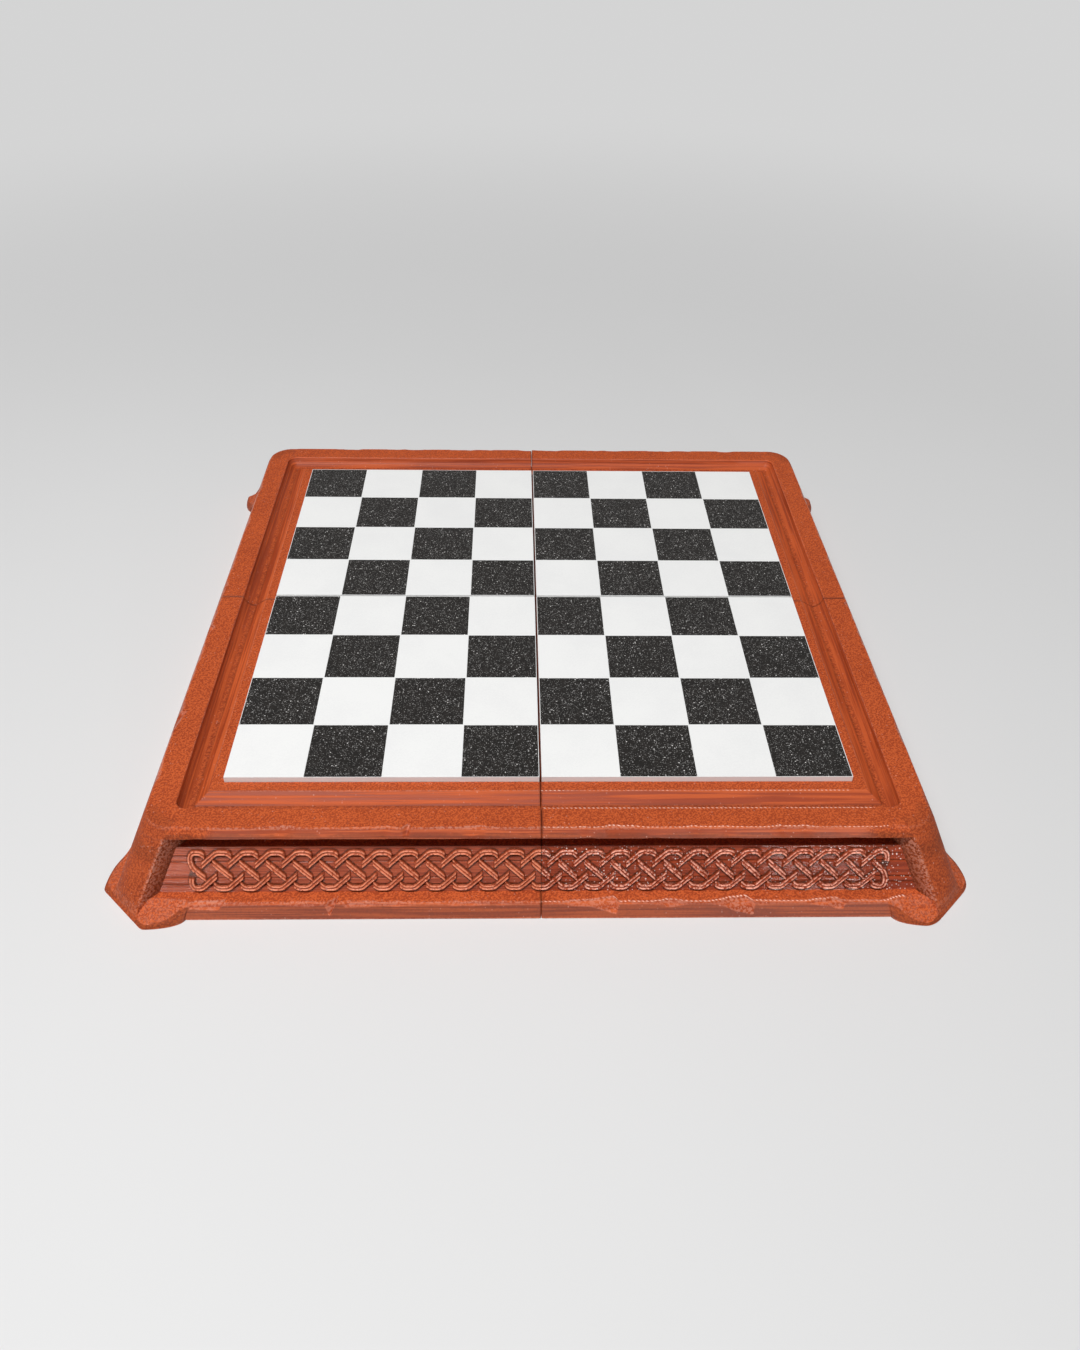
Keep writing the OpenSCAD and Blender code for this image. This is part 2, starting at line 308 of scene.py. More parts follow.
@dataclass
class FrameShell:
    """Terracotta frame of one quarter: a profile carried along its two sides and round its corner.

    Names that start with seam are for the groove along the seams, and those that end in r are radii of the
    corner in plan. The amounts for seam, pocket, gutter, cove, corner, post and face are painted shade:
    darker colour put where shade falls. The lip's ramp has a start, an end and a depth. The first rounding
    of the foot is for all quarters but the front right one.
    """

    quarter: Quarter
    sizes: Sizes = SIZES
    side_cols: int = 230
    arc_cols: int = 17
    side_run: float = 195.0
    panel_back: float = 1.0
    slot_deep: float = 4.5
    seam_groove: float = 0.5
    seam_draw: float = 0.35
    seam_fall: float = 0.25
    # Painted shade amounts: darker colour at the seams, pocket, gutter, cove, corner, posts and faces.
    seam_painted_shade: float = 0.45
    pocket_painted_shade: float = 0.95
    gutter_painted_shade: float = 0.65
    cove_painted_shade: float = 0.27
    corner_painted_shade: float = 0.27
    post_painted_shade: float = 0.9
    face_painted_shade: float = 0.5
    ledge_r: float = 0.3
    gutter_r: float = 0.7
    rim_r: float = 5.6
    outer_r: float = 10.0
    post_step: float = 0.5
    post_share: float = 0.3
    bevel: float = 0.2
    wave_floor: float = -0.1
    chip_lean: float = 0.55
    deep_chip: float = 1.8
    deep_fall: float = 1.8
    most_drop: float = 6.2
    lip_ramp: tuple[float, float, float] = (171.0, 184.0, 3.0)
    lip_rise: float = 0.9
    table_bevel: float = 0.3
    corner_lift: float = 5.0
    flare_power: float = 1.15
    foot_round: tuple[float, float] = (1.6, 5.0)
    calm_cols: int = 20
    calm_wear_and_highlight: float = 0.35
    dotted_stop: int = 12
    satin_end: tuple[float, float] = (0.86, 0.92)
    bore_points: int = 24
    sharp: float = 14.0
    rows: list[tuple[Array, ...]] = field(default_factory=list)

    def __post_init__(self) -> None:
        """Sets out the columns: the first side, the corner and the second side."""
        groove = self.seam_groove / self.side_run
        self.share = np.concatenate([[0], np.linspace(groove, 1, self.side_cols - 1)])
        self.turn = np.concatenate([[0], np.linspace(0, np.pi / 2, self.arc_cols), [np.pi / 2]])
        self.cols = 2 * self.side_cols + self.arc_cols + 2
        self.on_corner = np.abs(np.arange(self.cols) - (self.cols - 1) / 2) < self.arc_cols / 2 + 1

    def along(self, first: Array, second: Array) -> Array:
        """Joins values of the two sides into one row, run evenly across the corner."""
        middle = np.linspace(first[-1], second[-1], self.arc_cols + 2)
        return np.concatenate([first, middle, second[::-1]])

    def chips(self, edge: Edge) -> Array:
        """Depth of the hewn chamfer along an edge.

        A least depth, plus the hewn wave, cut off just below zero, plus the cut of each notch. The lip's
        edge runs out into a ramp above the foot.

        Args:
            edge: Which edge.

        Returns:
            One depth for each column.
        """
        k = self.sizes
        number, least, swing, pitch = edge.value
        height = {Edge.RIM: k.rim_z, Edge.BROW: k.recess_top, Edge.LIP: k.lip_h}[edge]
        s = self.share * (k.face(height) - k.post_w)
        found = []
        for half in Half:
            seed = self.quarter.value[1] / 90 + 5 * number + (0.5 if half is Half.FIRST else 0.9)
            depth = least + swing * np.maximum(hewn(s, seed, pitch), self.wave_floor)
            for notch in NOTCHES.get((self.quarter, half, edge), ()):
                depth = depth + notch.cut(s)
            if edge is Edge.LIP:
                start, end, most = self.lip_ramp
                depth = depth + most * smooth_step(start, end, s)
            found.append(depth)
        return self.along(*found)

    def foot_shift(self) -> Array:
        """Plan shift of each column from the lip's outline to the foot's outline on the table.

        The foot leaves the lip on a quarter ellipse and ends in a straight cut across the corner. A smooth
        minimum of the two rounds the edge between them, more on the front right quarter than on the others.

        Returns:
            Shifts in X and Y for each column.
        """
        k = self.sizes
        lip = k.face(0.0)
        tip = lip + k.foot_out
        back = tip - k.foot_cut
        y = k.seam + self.share * (lip - k.post_w - k.seam)
        swell = k.foot_out * np.sqrt(1 - np.clip((back - y) / k.foot_sweep, 0, 1) ** 2)
        cut = tip + back - y - lip
        soft = self.foot_round[self.quarter is Quarter.FRONT_RIGHT]
        share = np.clip(0.5 + 0.5 * (cut - swell) / soft, 0, 1)
        out = cut + share * (swell - cut) - soft * share * (1 - share)
        start = np.array([lip + out[-1], y[-1]])
        q = np.linspace(0, 1, self.arc_cols + 2)[:, None]
        target = start * (1 - q) + start[::-1] * q
        centre = lip - k.corner_r
        base = centre + k.corner_r * np.stack([np.cos(self.turn), np.sin(self.turn)], -1)
        zero = np.zeros_like(out)
        return np.concatenate([np.stack([out, zero], -1), target - base, np.stack([zero, out], -1)[::-1]])

    def row(self, d: Number, z: Number, r: float, inner: tuple | None = None,
            wear_and_highlight: Number = 0.0, stitch: float = 0.0, painted_shade: Number = 0.0) -> None:
        """Adds one row of points, the same place in the profile at every column.

        On the sides a point lies at the row's distance from the middle, spread from the seam to the post.
        On the corner it lies on an arc. Inside the recess a row can have its own distance and height. The
        first and last points are drawn in for the groove along the seam.

        Args:
            d: Distance from the board's middle.
            z: Height.
            r: Radius of the corner.
            inner: Distance and height inside the recess, or None where the row has no recess.
            wear_and_highlight: Scuffed edges, with painted highlight on them.
            stitch: Strength of the dotted line of print ends, which only the front right quarter shows.
            painted_shade: Painted shade, a darker colour put where shade falls.
        """
        k, n = self.sizes, self.side_cols
        spread = (d, z, *(inner or (d, z)), wear_and_highlight, painted_shade)
        d, z, di, zi, worn_and_highlit, painted_dark = (np.full(self.cols, v, float) for v in spread)
        post = r + min(self.post_step, self.post_share * r)
        outer = r > self.outer_r
        lift = np.full(self.cols, k.lip_h)
        lift[n:-n] = k.lip_h + self.corner_lift * np.sin(np.linspace(0, np.pi, self.arc_cols + 2)) ** 0.5
        one = np.stack([di[:n], k.seam + self.share * (di[:n] - post - k.seam), zi[:n]], -1)
        two = np.stack([k.seam + self.share[::-1] * (di[-n:] - post - k.seam), di[-n:], zi[-n:]], -1)
        dm, zm = d[n:-n], z[n:-n]
        bend = np.stack([dm - r + r * np.cos(self.turn), dm - r + r * np.sin(self.turn), zm], -1)
        bend[[0, -1], [1, 0]] -= (post - r) / 2
        flare = np.clip((lift - np.concatenate([zi[:n], zm, zi[-n:]])) / (lift - k.foot_edge), 0, 1)
        points = np.concatenate([one, bend, two])
        points[[0, -1], [0, 1]] -= self.seam_draw
        points[[0, -1], 2] -= self.seam_fall * np.minimum(points[[0, -1], 2], 1)
        points[:, :2] += self.foot_shift() * (flare ** self.flare_power)[:, None]
        # Scuffing with painted highlight is calmer near the posts.
        worn_and_highlit[n - self.calm_cols:-n + self.calm_cols] *= self.calm_wear_and_highlight
        # Painted shade: darker colour on the corner's outer rows and along the seam columns.
        painted_dark[n:-n] = np.maximum(painted_dark[n:-n], self.corner_painted_shade if outer else 0)
        painted_dark[[0, -1]] = self.seam_painted_shade
        painted_dark[[1, -2]] = np.maximum(painted_dark[[1, -2]], self.seam_painted_shade)
        # Inside the recess the walls' outer edges get painted highlight and the posts' end walls painted
        # shade.
        if inner is not None:
            worn_and_highlit[[n, n + 1, -n - 2, -n - 1]] = 1.0
            painted_dark[[n - 1, -n]] = self.post_painted_shade
        dotted = np.where(np.arange(self.cols) < n - self.dotted_stop, stitch, 0.0)
        side = 1 - smooth_step(*self.satin_end, self.share)
        satin = self.along(side, side) if outer else np.ones(self.cols)
        self.rows.append((points, worn_and_highlit, dotted * (self.quarter is Quarter.FRONT_RIGHT), painted_dark, satin))

    def inside_rows(self) -> None:
        """Rows from the middle of the pocket over ledge, slope and hollow to the rim's inner edge."""
        k = self.sizes
        pocket = k.plate_out + k.plate_clear
        gutter = k.rim_z - k.cove_r
        # Painted shade: darker colour on the pocket floor under the plates, at the slope's foot and in the
        # cove.
        self.row(k.seam, k.pocket_z, 0.0, painted_shade=self.pocket_painted_shade)
        self.row(pocket, k.pocket_z, self.ledge_r, painted_shade=self.pocket_painted_shade)
        for d, z in ((pocket, k.deck_z - self.bevel), (pocket + self.bevel, k.deck_z),
                     (k.ledge_out - 3.0, k.deck_z), (k.ledge_out - 0.3, k.deck_z)):
            self.row(d, z, self.ledge_r)
        self.row(k.ledge_out + self.bevel, k.deck_z - 0.15, self.ledge_r, wear_and_highlight=0.6, stitch=0.9)
        for t in np.linspace(0.08, 0.94, 9):
            d, z = k.ledge_out + t * k.slope_w, k.deck_z - t * (k.deck_z - gutter)
            self.row(d, z, self.ledge_r + 0.4 * t, painted_shade=self.gutter_painted_shade * max(0.0, 4 * t - 3))
        for a in np.radians(np.linspace(10, 78, 11)):
            across, down = k.cove_r * math.sin(a), k.cove_r * math.cos(a)
            r = self.gutter_r + 0.7 * across
            self.row(k.slope_out + across, k.rim_z - down, r, painted_shade=self.cove_painted_shade - 0.2 * a)
        self.row(k.rim_in + 0.05, k.rim_z - 0.55, 5.3)
        self.row(k.rim_in + 0.35, k.rim_z - 0.15, 5.5, wear_and_highlight=0.35, stitch=0.6)
        self.row(k.rim_in + 0.9, k.rim_z, 5.7, stitch=1.0)
        self.row(k.rim_in + 1.4, k.rim_z, 5.9)

    def rim_rows(self) -> None:
        """Rows over the rim's top and down its hewn edge to the recess."""
        k = self.sizes
        chip, brow = self.chips(Edge.RIM), self.chips(Edge.BROW)
        edge = k.rim_out - chip
        drop = 0.25 + self.chip_lean * chip
        lean = self.chip_lean * chip
        for t in np.linspace(0.2, 0.97, 6):
            r = self.rim_r + t * (k.corner_r - self.rim_r - 0.4)
            self.row(k.rim_in + t * (edge - k.rim_in), k.rim_z, r)
        # The rim's hewn edge: scuffing with painted highlight, fading down the chip.
        self.row(edge, k.rim_z - 0.04, k.corner_r, wear_and_highlight=0.8, stitch=1.0)
        fallen = k.face(k.rim_z - drop)
        self.row((edge + fallen - lean) / 2, k.rim_z - drop / 2, k.corner_r, wear_and_highlight=0.6)
        self.row(fallen - lean, k.rim_z - drop, k.corner_r, wear_and_highlight=0.45)
        low = k.recess_top + brow
        # The painted shade starts at a share of the way down the face. A share above 1 leaves the corner
        # without it.
        start = np.where(self.on_corner, 2.0, 0.2 + 0.9 * brow)
        for t in np.linspace(0.1, 0.95, 8):
            z = k.rim_z - drop - t * (k.rim_z - drop - low)
            shade = self.face_painted_shade * smooth_step(start, start + 0.15, t)
            self.row(k.face(z) - lean * (1 - t), z, k.corner_r, painted_shade=shade)
        shade = np.where(self.on_corner, 0.0, self.face_painted_shade)
        self.row(k.face(low), low, k.corner_r, wear_and_highlight=0.3, painted_shade=shade)
        under = (k.face(k.recess_top) - 0.8 * brow, k.recess_top - 0.2 * brow)
        self.row(k.face(k.recess_top), k.recess_top, k.corner_r, inner=under, wear_and_highlight=0.2)

    def recess_rows(self) -> None:
        """Rows under the brow, through the dark slot, behind the panel and out over the base ledge."""
        k = self.sizes
        deep = k.panel_deep + self.panel_back
        slot = k.panel_deep + self.slot_deep
        chip = self.chips(Edge.LIP)
        for t in (0.35, 0.7, 1.0):
            z = k.recess_top + t * (k.panel_top - k.recess_top)
            self.row(k.face(z), z, k.corner_r, inner=(k.face(z) - t * slot, z))
        # The slot under the brow, with painted shade on its rows.
        for z, back in ((k.panel_top - 2.0, slot), (k.strip_top + 0.3, slot), (k.strip_top - 0.2, deep)):
            self.row(k.face(z), z, k.corner_r, inner=(k.face(z) - back, z), painted_shade=self.face_painted_shade)
        for t in np.linspace(0.15, 1.0, 8):
            z = k.strip_top + t * (k.lip_h - k.strip_top)
            flush = k.strip_top + t * (k.lip_h + self.lip_rise - k.strip_top)
            self.row(k.face(flush), flush, k.corner_r, inner=(k.face(z) - deep, z))
        lip = k.face(k.lip_h)
        for t in (0.3, 0.6, 0.85):
            z = k.lip_h + self.lip_rise * (1 - t)
            self.row(k.face(z), z, k.corner_r, inner=(lip - deep + t * (deep - chip), k.lip_h))
        steeper = self.deep_chip + self.deep_fall * (chip - self.deep_chip)
        drop = np.minimum(0.2 + np.where(chip > self.deep_chip, steeper, chip), self.most_drop)
        # The lip's hewn edge: scuffing with painted highlight, more where the chips are deep.
        self.row(lip, k.lip_h, k.corner_r, inner=(lip - chip, k.lip_h - 0.03), wear_and_highlight=0.8, stitch=1.0)
        inset = np.where(self.on_corner, 0, chip)
        rub_and_highlight = np.clip(0.25 + 0.12 * chip, 0, 0.7)
        fall = k.face(k.lip_h - drop) - lip + inset
        for t, worn_and_highlit in ((0.12, 0.8), (0.5, rub_and_highlight), (1.0, rub_and_highlight)):
            self.row(lip - inset + t * fall, k.lip_h - t * drop, k.corner_r, wear_and_highlight=worn_and_highlit)
        top = k.lip_h - drop
        # Painted shade on the lip's face, lighter on the corner.
        shade = np.where(self.on_corner, 0.1, self.face_painted_shade)
        for t in np.linspace(0.12, 0.94, 8):
            z = top * (1 - t) + 0.4 * t
            self.row(k.face(z), z, k.corner_r, painted_shade=shade)
        # The bottom edge: scuffing with painted highlight.
        self.row(k.face(self.table_bevel), self.table_bevel, k.corner_r, wear_and_highlight=0.8)
        self.row(k.face(0.0) - self.table_bevel, 0.0, k.corner_r, wear_and_highlight=0.6)
        self.row(k.seam, 0.0, 0.0)

    def seam_face(self, chain: Array, height: Array, half: Half,
                  start: int) -> tuple[Array, Array, list[Array]]:
        """Flat face of one seam with its two pin bores.

        Each bore has a circle of points at the face and one at its end. A line through the bores' middles
        parts the face into an upper and a lower half, so that neither half has a hole.

        Args:
            chain: Point numbers of the profile on the seam, from the pocket round to the table.
            height: Heights of those points.
            half: Which of the quarter's two seams.
            start: Number of the first new point.

        Returns:
            The new points, the walls of the bores, and the closing faces.
        """
        k, count = self.sizes, self.bore_points
        turn = np.arange(count) * 2 * np.pi / count
        middle = np.array([k.bore_near, k.bore_far])[:, None, None]
        deep = np.array([k.seam, k.bore_end])[None, :, None]
        across, up = middle + k.bore_r * np.cos(turn), k.bore_z + k.bore_r * np.sin(turn)
        place = np.broadcast_arrays(across, deep, up)
        points = np.concatenate([[[k.seam, k.seam, k.bore_z]], np.stack(place, -1).reshape(-1, 3)])
        if half is Half.SECOND:
            points = points[:, [1, 0, 2]]
        left = [start]
        (near, near_end), (far, far_end) = start + 1 + np.arange(4 * count).reshape(2, 2, count)
        bores = ((near, near_end), (far, far_end))
        walls = [np.stack([a, np.roll(a, -1), np.roll(b, -1), b], -1) for a, b in bores]
        part = np.flatnonzero(height > k.bore_z)[-1]
        over = np.arange(count // 2 + 1)
        under = (over + count // 2) % count
        upper = np.concatenate([chain[:part + 1], far[over], near[over], left])
        lower = np.concatenate([chain[part:], left, near[under], far[under]])
        return points, np.concatenate(walls), [upper, lower, near_end, far_end]

    def build(self) -> bpy.types.Object:
        """Makes the shell's mesh and closes it with a flat, bored face on each seam.

        Returns:
            The piece.
        """
        self.inside_rows()
        self.rim_rows()
        self.recess_rows()
        points, wear_and_highlight, stitch, painted_shade, satin = (np.stack(part) for part in zip(*self.rows))
        points[[0, -1], :, :2] = self.sizes.seam
        count = len(self.rows)
        height = points[:, 0, 2]
        chain = np.arange(count) * self.cols
        total = count * self.cols
        first = self.seam_face(chain, height, Half.FIRST, total)
        second = self.seam_face(chain + self.cols - 1, height, Half.SECOND, total + len(first[0]))
        added = len(first[0]) + len(second[0])
        placed = turned(np.concatenate([points.reshape(-1, 3), first[0], second[0]]), self.quarter.turn)
        quads = np.concatenate([grid_quads(count, self.cols), first[1], second[1]])
        marks = {"wear_and_highlight": wear_and_highlight, "stitch": stitch, "painted_shade": painted_shade, "satin": satin}
        marks = {label: np.pad(values.ravel(), (0, added)) for label, values in marks.items()}
        name = f"frame_shell_{self.quarter.body}"
        return closed_mesh(name, placed, quads, first[2] + second[2], marks, self.sharp)

    def dress(self, material: bpy.types.Material) -> bpy.types.Object:
        """Builds the shell, gives it its finish and puts it in the place of the solid.

        Args:
            material: The terracotta finish.

        Returns:
            The piece.
        """
        piece = self.build()
        piece.data.materials.append(material)
        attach(piece, self.quarter.body)
        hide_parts(f"frame_{self.quarter.body}")
        return piece


@dataclass
class KnotPanel:
    """Half of a side panel with its raised plait, as a closed slab set in the frame's recess.

    The dips are the phases at which a strand goes under, each with its reach, in degrees. The loops have the
    way that each one turns and the share of its curve that stays under another strand. The planks are the
    heights of the grooves in the bare panel. The last pairs are ranges of height that set where gaps and
    grooves get painted shade and where crests get scuffing with painted highlight.
    """

    quarter: Quarter
    half: Half
    sizes: Sizes = SIZES
    cols: int = 600
    row_count: int = 92
    strand_w: float = 3.0
    strand_h: float = 1.8
    groove: float = 0.8
    groove_w: float = 0.42
    crown: float = 0.16
    back: float = 1.4
    sunk: float = 0.5
    tuck: float = 0.4
    flat: float = 1.25
    bend: float = 0.14
    moat: float = 0.6
    dips: tuple[tuple[float, float], ...] = ((0, 19.5), (135, 12.0), (225, 12.0), (360, 19.5))
    dip_soft: float = 2.0
    loops: tuple[tuple[int, float], ...] = ((1, 0.36), (-1, 0.0))
    loop_points: int = 60
    planks: tuple[float, ...] = (8.0, 4.3, -4.4, -7.3)
    plank_deep: float = 0.45
    plank_w: float = 0.32
    plait_edge: float = 1.2
    # Painted shade on the plait's ground and beside the strands.
    ground_painted_shade: float = 0.12
    gap_painted_shade: float = 0.85
    gap_tops: tuple[float, float] = (0.4, 1.3)
    plank_dips: tuple[float, float] = (0.08, 0.36)
    crests: tuple[float, float] = (1.15, 1.7)
    sharp: float = 60.0

    def course(self, angle: Array) -> tuple[Array, Array]:
        """Middle line of a strand, in straight runs with short bends into flat tops.

        A triangle wave, stretched beyond 1 and cut off at 1, with a parabola over each bend.

        Args:
            angle: Phase angles in radians.

        Returns:
            Places up the panel, and the slope there.
        """
        k = self.sizes
        wave = self.flat * triangle_wave(angle)
        size = np.minimum(np.abs(wave), 1 + self.bend)
        past = np.maximum(size - (1 - self.bend), 0)
        rise = np.sign(wave) * (size - past ** 2 / (4 * self.bend))
        steep = (1 - past / (2 * self.bend)) * np.sign(np.cos(angle))
        return k.plait_swing * rise, self.flat * k.plait_swing / k.plait_pitch * steep

    def strand(self, off: Array) -> Array:
        """Height of a strand at a distance from its middle line.

        A round-shouldered band with a groove along its middle.

        Args:
            off: Distance from the middle line.

        Returns:
            Height above the panel.
        """
        band = np.sqrt(np.clip(1 - np.abs(off / (self.strand_w / 2)) ** 4, 0, 1))
        return self.strand_h * band - self.groove * np.exp(-(off / self.groove_w) ** 2) * (band > 0)

    def shown(self, phase: Array) -> Array:
        """How far a strand is on top, by its phase in degrees.

        It dips under the others in short stretches about 0, 135 and 225 degrees.

        Args:
            phase: Phase angles in degrees.

        Returns:
            1 where the strand shows and 0 where it is under another.
        """
        phase = np.mod(phase, 360)
        hidden = np.zeros_like(phase)
        for at, reach in self.dips:
            low, high = reach - self.dip_soft, reach + self.dip_soft
            hidden = np.maximum(hidden, 1 - smooth_step(low, high, np.abs(phase - at)))
        return 1 - hidden

    def end_loops(self, u: Array, v: Array) -> tuple[Array, Array]:
        """Height of the two loops that close the plait beyond its last crossing.

        Each loop is a cubic curve from the middle line to the outer line, and a point's height comes from
        its distance to the nearest of the curve's points.

        Args:
            u: Places along the panel.
            v: Places up the panel.

        Returns:
            Heights above the panel, and 1 where a point lies on or close beside a loop.
        """
        k = self.sizes
        end = k.crossings * k.plait_pitch
        rise = k.plait_end * self.flat * k.plait_swing / k.plait_pitch
        t = np.linspace(0, 1, self.loop_points)[:, None]
        weights = np.hstack([(1 - t) ** 3, 3 * t * (1 - t) ** 2, 3 * t ** 2 * (1 - t), t ** 3])
        found, beside = np.zeros_like(u), np.zeros_like(u)
        for way, start in self.loops:
            c = np.array([[0, 0], [k.plait_end, way * rise], [k.plait_end, way * k.plait_swing],
                          [0, way * k.plait_swing]]) + [end, 0]
            line = weights @ c
            gap = np.hypot(u[..., None] - line[:, 0], v[..., None] - line[:, 1])
            near = np.argmin(gap, -1)
            height = self.strand(np.min(gap, -1))
            found = np.maximum(found, height * smooth_step(start - 0.05, start + 0.02, t[near, 0]))
            beside = np.maximum(beside, np.min(gap, -1) < self.strand_w / 2 + self.moat)
        return found, beside

    def relief(self, u: Array, v: Array) -> tuple[Array, Array]:
        """Height of the plait over the panel.

        Four strands, a quarter wave apart, each dipping under its neighbours by phase. The highest one
        counts. Beyond the last crossing the end loops take their place. The bare panel has plank grooves.

        Args:
            u: Places along the panel from the seam.
            v: Places up the panel from the plait's middle line.

        Returns:
            Heights above the panel, and 1 where a point lies on or close beside a strand.
        """
        k = self.sizes
        height, beside = np.zeros_like(u), np.zeros_like(u)
        end = k.crossings * k.plait_pitch
        for n in range(4):
            phase = 90 * (u / k.plait_pitch - n)
            line, slope = self.course(np.radians(phase))
            off = (v - line) / np.sqrt(1 + slope ** 2)
            over = self.crown * np.cos(4 * np.radians(phase)) * (np.abs(off) < self.strand_w / 2)
            height = np.maximum(height, (self.strand(off) + over) * self.shown(phase))
            beside = np.maximum(beside, (np.abs(off) < self.strand_w / 2 + self.moat) * self.shown(phase))
        far = u > end
        height[far], beside[far] = self.end_loops(u[far], v[far])
        bare = 1 - smooth_step(0.0, 0.4, height)
        for at in self.planks:
            off = v - at - 0.12 * np.sin(u / 9 + at)
            height = height - self.plank_deep * bare * np.exp(-(off / self.plank_w) ** 2)
        return height + 0.05 * bare * np.sin(v * 5.1 + np.sin(u / 3.7)), beside

    def build(self) -> bpy.types.Object:
        """Makes the slab: a grid over the panel, raised by the relief, with its border drawn back.

        Returns:
            The piece.
        """
        k = self.sizes
        z = np.linspace(k.lip_h - self.sunk, k.strip_top, self.row_count)[:, None]
        d = k.face(z) - k.panel_deep
        u = k.seam + np.linspace(0, 1, self.cols) * (d - k.post_w + self.tuck - k.seam)
        v = np.broadcast_to((z - k.plait_z) / math.sin(k.face_angle), u.shape)
        w, beside = self.relief(u, v * self.half.value)
        u, v, w, beside = (np.pad(a, 1, mode="edge") for a in (u, v, w, beside))
        w[0], w[-1], w[:, 0], w[:, -1] = (-self.back,) * 4
        z = k.plait_z + v * math.sin(k.face_angle) + w * math.cos(k.face_angle)
        out = k.face(k.plait_z) - k.panel_deep - v * math.cos(k.face_angle) + w * math.sin(k.face_angle)
        points = np.stack([out, u, z] if self.half is Half.FIRST else [u, out, z], -1)
        rows, cols = w.shape
        n = np.arange(rows * cols).reshape(rows, cols)
        ring = np.concatenate([n[0, :-1], n[:-1, -1], n[-1, :0:-1], n[:0:-1, 0]])
        placed = turned(points.reshape(-1, 3), self.quarter.turn)
        name = f"knot_panel_{self.quarter.body}_{self.half.name.lower()}"
        end = k.crossings * k.plait_pitch + k.plait_end
        plait = (np.abs(v) < k.plait_swing + self.plait_edge) & (u < end)
        # Painted shade: darker colour beside the strands, on the plait's ground and in the plank grooves.
        # Crests get scuffing with painted highlight.
        gaps = (self.ground_painted_shade * plait + self.gap_painted_shade * beside) * (1 - smooth_step(*self.gap_tops, w))
        gaps = np.maximum(gaps, self.gap_painted_shade * smooth_step(*self.plank_dips, -w))
        marks = {"wear_and_highlight": smooth_step(*self.crests, w), "painted_shade": gaps, "satin": np.ones_like(w)}
        return closed_mesh(name, placed, grid_quads(rows, cols), [ring], marks, self.sharp)

    def dress(self, material: bpy.types.Material) -> bpy.types.Object:
        """Builds the slab, gives it its finish and lets it ride with its quarter.

        Args:
            material: The carved or the glossy finish.

        Returns:
            The piece.
        """
        piece = self.build()
        piece.data.materials.append(material)
        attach(piece, self.quarter.body)
        return piece


class NodeBench:
    """Lays out shader nodes in one tree."""

    def __init__(self, tree: bpy.types.NodeTree) -> None:
        """Keeps the tree."""
        self.tree = tree

    def feed(self, node: bpy.types.Node, inputs: dict) -> None:
        """Sets or links inputs of a node.

        Args:
            node: The node.
            inputs: Input name or number to a value, or to an output socket that is linked to it.
        """
        for name, value in inputs.items():
            if isinstance(value, Socket):
                self.tree.links.new(value, node.inputs[name])
            else:
                node.inputs[name].default_value = value

    def add(self, kind: str, inputs: dict | None = None, **settings: object) -> bpy.types.Node:
        """Adds a node, sets its properties, and sets or links its inputs.

        Args:
            kind: Blender's name of the node type.
            inputs: What its inputs are fed with.
            settings: Properties of the node.

        Returns:
            The node.
        """
        node = self.tree.nodes.new(kind)
        for name, value in settings.items():
            setattr(node, name, value)
        self.feed(node, inputs or {})
        return node

    def math(self, how: str, *values: object) -> Socket:
        """Result of a Math node on sockets or numbers."""
        return self.add("ShaderNodeMath", dict(enumerate(values)), operation=how).outputs[0]

    def ramp(self, value: Socket, low: float, high: float,
             low_out: float = 0.0, high_out: float = 1.0) -> Socket:
        """Smooth change from one number to another as a value rises."""
        inputs = {"Value": value, "From Min": low, "From Max": high, "To Min": low_out, "To Max": high_out}
        return self.add("ShaderNodeMapRange", inputs, interpolation_type="SMOOTHSTEP").outputs[0]

    def mix(self, share: object, one: object, two: object) -> Socket:
        """Colour between two colours by a share."""
        return self.add("ShaderNodeMix", {0: share, 6: one, 7: two}, data_type="RGBA").outputs[2]

    def noise(self, vector: Socket, scale: Place, detail: float, rough: float = 0.5) -> Socket:
        """Noise value with its own scale along each axis, in waves per metre.

        Args:
            vector: The coordinates.
            scale: Waves per metre along each axis.
            detail: How many finer layers are added.
            rough: Strength of the finer layers.

        Returns:
            The noise socket.
        """
        place = self.add("ShaderNodeMapping", {"Vector": vector, "Scale": scale}).outputs[0]
        inputs = {"Vector": place, "Scale": 1.0, "Detail": detail, "Roughness": rough}
        return self.add("ShaderNodeTexNoise", inputs).outputs[0]

    def mark(self, name: str) -> Socket:
        """Value that the mesh keeps under a name."""
        return self.add("ShaderNodeAttribute", attribute_name=name).outputs["Fac"]

    def product(self, *values: object) -> Socket:
        """Product of sockets and numbers."""
        return functools.reduce(lambda one, two: self.math("MULTIPLY", one, two), values)

    def weighted(self, one: object, one_share: float, two: object, two_share: float) -> Socket:
        """Sum of two values, each times its share."""
        return self.math("ADD", self.product(one, one_share), self.product(two, two_share))

    def bump(self, height: Socket, strength: float, distance: float) -> Socket:
        """Normal that follows a height, where a height of 1 stands for a distance in metres."""
        inputs = {"Strength": strength, "Distance": distance, "Height": height}
        return self.add("ShaderNodeBump", inputs).outputs[0]

    def cover(self, end: str, share: Socket, one: bpy.types.Node, two: bpy.types.Node) -> None:
        """Mixes two shaders by a share and feeds them to the output node of a name."""
        both = self.add("ShaderNodeMixShader", {0: share, 1: one.outputs[0], 2: two.outputs[0]})
        self.feed(self.tree.nodes[end], {"Surface": both.outputs[0]})


